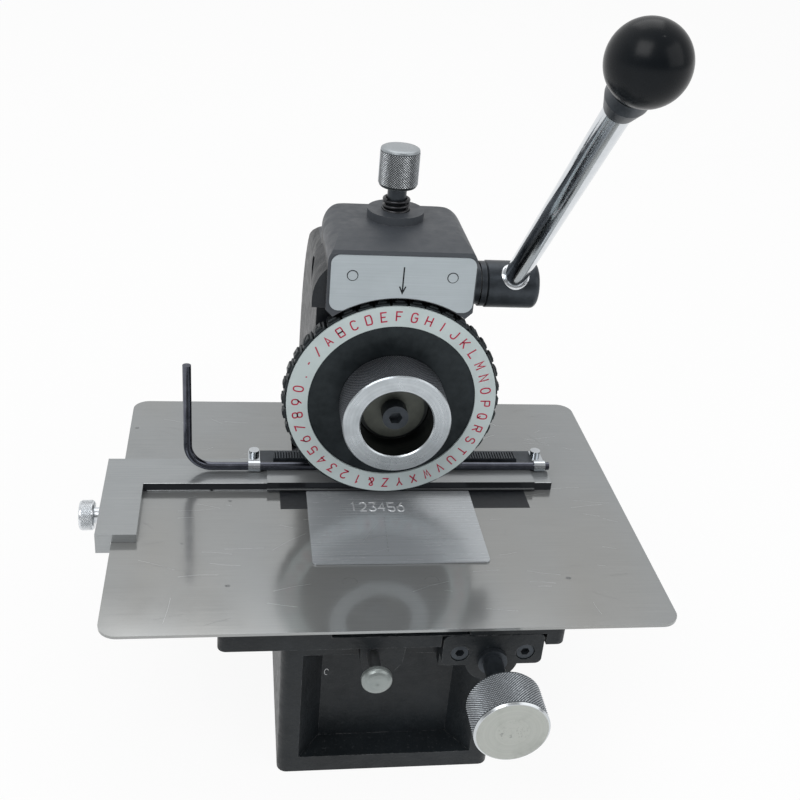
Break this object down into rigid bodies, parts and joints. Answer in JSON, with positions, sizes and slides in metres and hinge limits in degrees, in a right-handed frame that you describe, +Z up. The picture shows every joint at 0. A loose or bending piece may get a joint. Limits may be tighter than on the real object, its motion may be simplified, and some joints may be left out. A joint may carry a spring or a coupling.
{
  "type": "metal sign embossing machine",
  "caption": "Hand embossing machine for metal signs: steel table on a cast pedestal, arm with a turning character wheel, side lever with ball, clamp guide and table feed knob.",
  "frame": {"origin": "on the underside of the pedestal, on the middle plane of the frame, below the middle of the table at rest", "axes": "+X to the operator's right, +Y away from the operator, +Z up"},
  "size_m": [0.2878, 0.2742, 0.3827],
  "materials": {
    "black_paint": "satin black paint on a cast surface",
    "ground_steel": "ground",
    "table_steel": "fine brushed",
    "polished_steel": "polished",
    "spring_steel": "drawn wire",
    "chrome": "bright plate",
    "black_steel": "blackened",
    "type_steel": "blued",
    "ring_enamel": "light enamel with red characters",
    "aluminium": "turned and knurled",
    "blank_metal": "bright rolled",
    "bronze": "machined",
    "black_ball": "polished"
  },
  "bodies": {
    "frame": {"pedestal": "black_paint", "bottom_cover": "ground_steel", "cover_screws": "chrome", "saddle": "black_paint", "saddle_screws": "black_steel", "gib": "ground_steel", "gib_screws": "black_steel", "frame_arm": "black_paint", "arm_bolts": "black_steel", "pointer_plate": "aluminium", "pointer_rivets": "chrome", "shaft_bush_left": "black_steel", "shaft_bush_right": "black_steel", "feed_bracket": "black_paint", "bracket_screws": "black_steel", "plunger_spring": "spring_steel", "return_springs": "spring_steel", "depth_spring": "spring_steel"},
    "lever": {"lever_shaft": "ground_steel", "shaft_collar": "black_steel", "lever_hub": "black_steel", "hub_set_screw": "black_steel", "lever_rod": "chrome", "ball_ferrule": "black_steel", "ball_knob": "black_ball"},
    "ram_slide": {"ram": "ground_steel", "ram_cap": "ground_steel", "ram_cap_screws": "black_steel", "spring_bar": "ground_steel", "wheel_arbor": "ground_steel", "retaining_washer": "bronze", "retaining_screw": "black_steel", "detent_spring": "spring_steel"},
    "index_plunger": {"detent_plunger": "ground_steel"},
    "type_wheel": {"type_disc": "type_steel", "type_blocks": "type_steel", "character_ring": "ring_enamel", "index_plate": "ground_steel", "wheel_knob": "aluminium", "wheel_knob_screws": "black_steel"},
    "depth_stop": {"depth_pad": "ground_steel"},
    "depth_adjuster": {"depth_screw": "black_steel", "depth_knob": "aluminium"},
    "table": {"table_sheet": "table_steel", "table_tongue": "ground_steel", "table_screws": "table_steel", "table_nut": "bronze", "stop_block": "ground_steel"},
    "feed": {"feed_screw": "ground_steel", "feed_knob": "aluminium", "feed_knob_screw": "black_steel"},
    "front_plunger": {"plunger_pin": "ground_steel", "plunger_knob": "chrome"},
    "guide": {"guide_plate": "polished_steel"},
    "guide_lock": {"thumb_screw": "chrome"},
    "carriage": {"carriage_bar": "black_steel", "carriage_clips": "chrome"},
    "clamp": {"clamp_rod": "chrome", "clamp_strip": "polished_steel"},
    "blank": {"sign_blank": "blank_metal"}
  },
  "joints": [
    {"name": "lever_swing", "type": "hinge", "parent": "frame", "child": "lever", "pos_m": [0, 0.0393, 0.2202], "axis": [1, 0, 0], "range_deg": [0, 50], "stiffness_Nm_per_rad": 0.6, "springref_deg": -45.84},
    {"name": "ram_travel", "type": "slide", "parent": "frame", "child": "ram_slide", "axis": [0, 0, -1], "range_m": [0, 0.00432], "stiffness_N_per_m": 3000, "springref_m": -0.007, "deforming": ["return_springs"]},
    {"name": "wheel_spin", "type": "hinge", "parent": "ram_slide", "child": "type_wheel", "pos_m": [0.0033, 0, 0.1723], "axis": [0, 1, 0], "continuous": true},
    {"name": "index_click", "type": "slide", "parent": "ram_slide", "child": "index_plunger", "axis": [0, 1, 0], "range_m": [0, 0.0018], "stiffness_N_per_m": 400, "springref_m": -0.004},
    {"name": "depth_travel", "type": "slide", "parent": "frame", "child": "depth_stop", "axis": [0, 0, 1], "range_m": [0, 0.003]},
    {"name": "depth_turn", "type": "hinge", "parent": "depth_stop", "child": "depth_adjuster", "pos_m": [0.0033, 0.036, 0.265], "axis": [0, 0, 1], "range_deg": [0, 720.5]},
    {"name": "table_feed", "type": "slide", "parent": "frame", "child": "table", "axis": [0, 1, 0], "range_m": [0, 0.034]},
    {"name": "feed_turn", "type": "hinge", "parent": "frame", "child": "feed", "pos_m": [0.0475, -0.1, 0.0835], "axis": [0, 1, 0], "range_deg": [0, 9792.5]},
    {"name": "plunger_pull", "type": "slide", "parent": "frame", "child": "front_plunger", "axis": [0, -1, 0], "range_m": [0, 0.004], "stiffness_N_per_m": 500, "springref_m": -0.006},
    {"name": "guide_shift", "type": "slide", "parent": "table", "child": "guide", "axis": [0, 1, 0], "range_m": [0, 0.008]},
    {"name": "thumb_turn", "type": "hinge", "parent": "guide", "child": "guide_lock", "pos_m": [-0.149, -0.012, 0.10925], "axis": [1, 0, 0], "range_deg": [0, 720]},
    {"name": "carriage_shift", "type": "slide", "parent": "guide", "child": "carriage", "axis": [1, 0, 0], "range_m": [-0.03, 0.03]},
    {"name": "clamp_lift", "type": "hinge", "parent": "carriage", "child": "clamp", "pos_m": [0, 0.021, 0.1177], "axis": [1, 0, 0], "range_deg": [-40, 0]},
    {"name": "blank_slip", "type": "slide", "parent": "carriage", "child": "blank", "axis": [0, -1, 0], "range_m": [0, 0.03]}
  ],
  "couplings": [
    {"joint": "ram_travel", "follows": "lever_swing", "m_per_rad": 0.0049297},
    {"joint": "depth_turn", "follows": "depth_travel", "rad_per_m": 4188.8},
    {"joint": "feed_turn", "follows": "table_feed", "rad_per_m": 5026.5}
  ]
}
